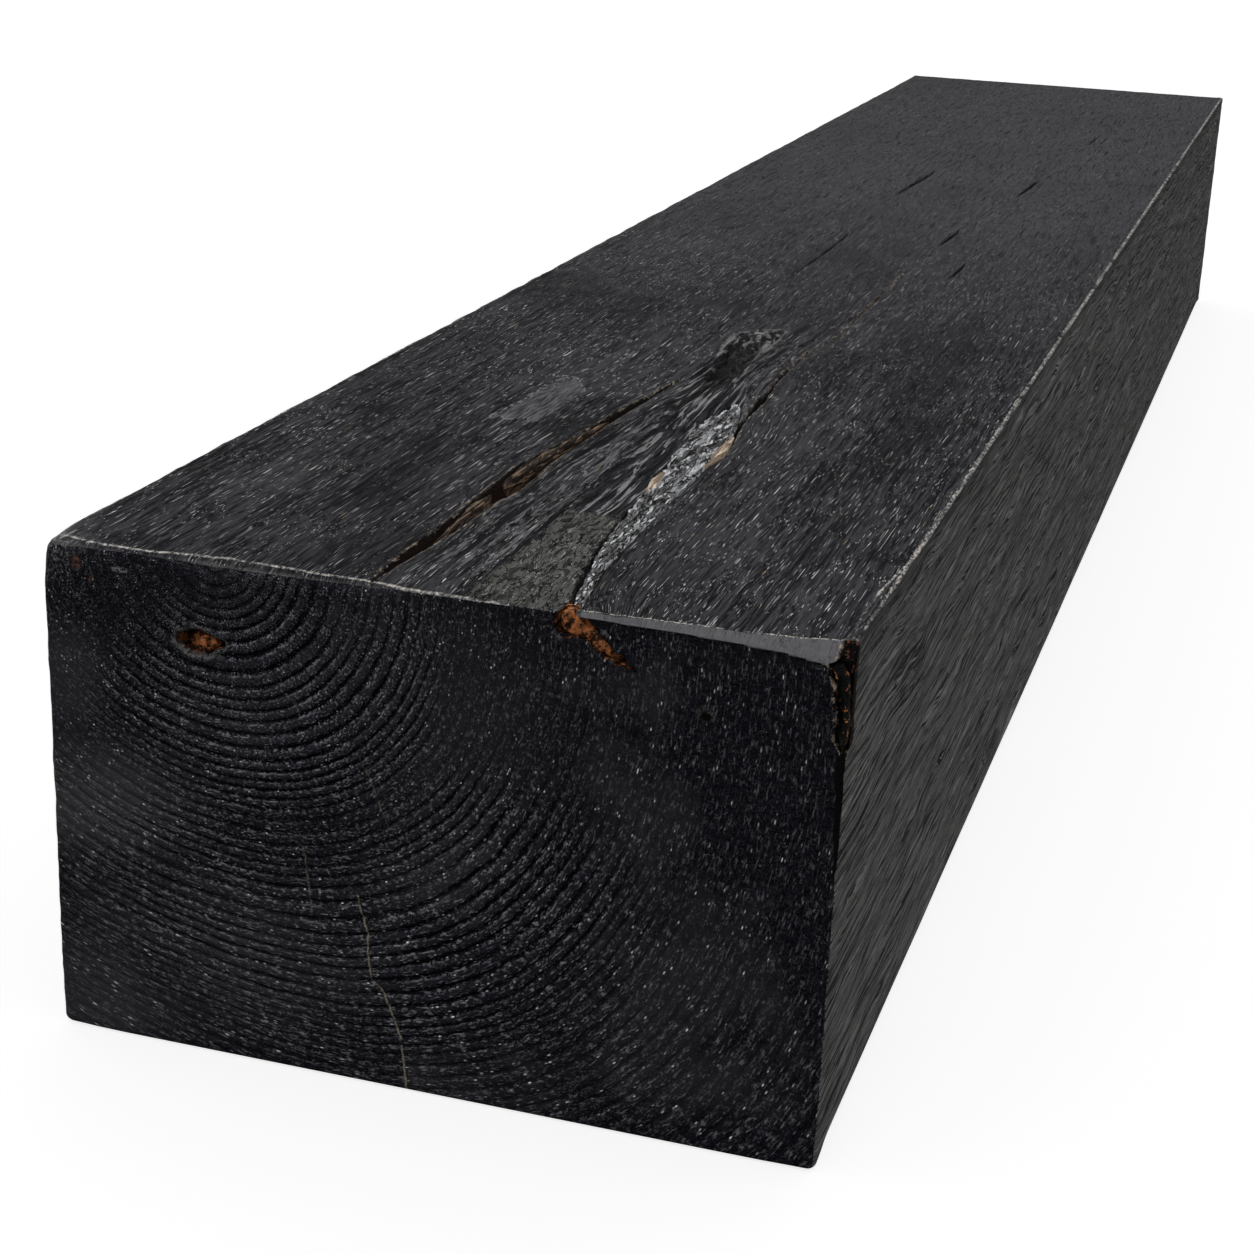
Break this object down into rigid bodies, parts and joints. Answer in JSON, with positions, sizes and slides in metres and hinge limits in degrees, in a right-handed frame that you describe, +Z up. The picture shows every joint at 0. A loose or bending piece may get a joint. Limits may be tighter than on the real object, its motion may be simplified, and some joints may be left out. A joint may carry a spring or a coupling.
{
  "type": "blackened timber baulk",
  "caption": "Heavy square-sawn, charcoal-black stained timber baulk with a branch scar, bark inclusion, drying checks and brushed end grain.",
  "frame": {"origin": "middle of the base, under the centre of the bounding box", "axes": "+Y along the grain, from the brushed end with the growth rings to the far end; +Z up; +X to the right when facing the brushed end"},
  "size_m": [0.225, 1.245, 0.148],
  "materials": {
    "blackened_wood": "charcoal-black stain, brushed, matt",
    "grey_bark": "weathered, rough",
    "pale_wood": "bare, unstained",
    "dark_knot": "charcoal-black stain, rough",
    "weathered_splinter": "part stained, fibrous",
    "rotten_wood": "bare, crumbly"
  },
  "bodies": {
    "root": {"timber_body": "blackened_wood", "bark_inclusion": "grey_bark", "bark_chip": "pale_wood", "knot_stub": "dark_knot", "near_check_splinter": "weathered_splinter", "far_check_splinter": "weathered_splinter", "pale_splinter": "pale_wood", "end_knot_fill": "rotten_wood", "pocket_rotten_wood": "rotten_wood", "corner_rotten_wood": "rotten_wood"}
  },
  "joints": []
}
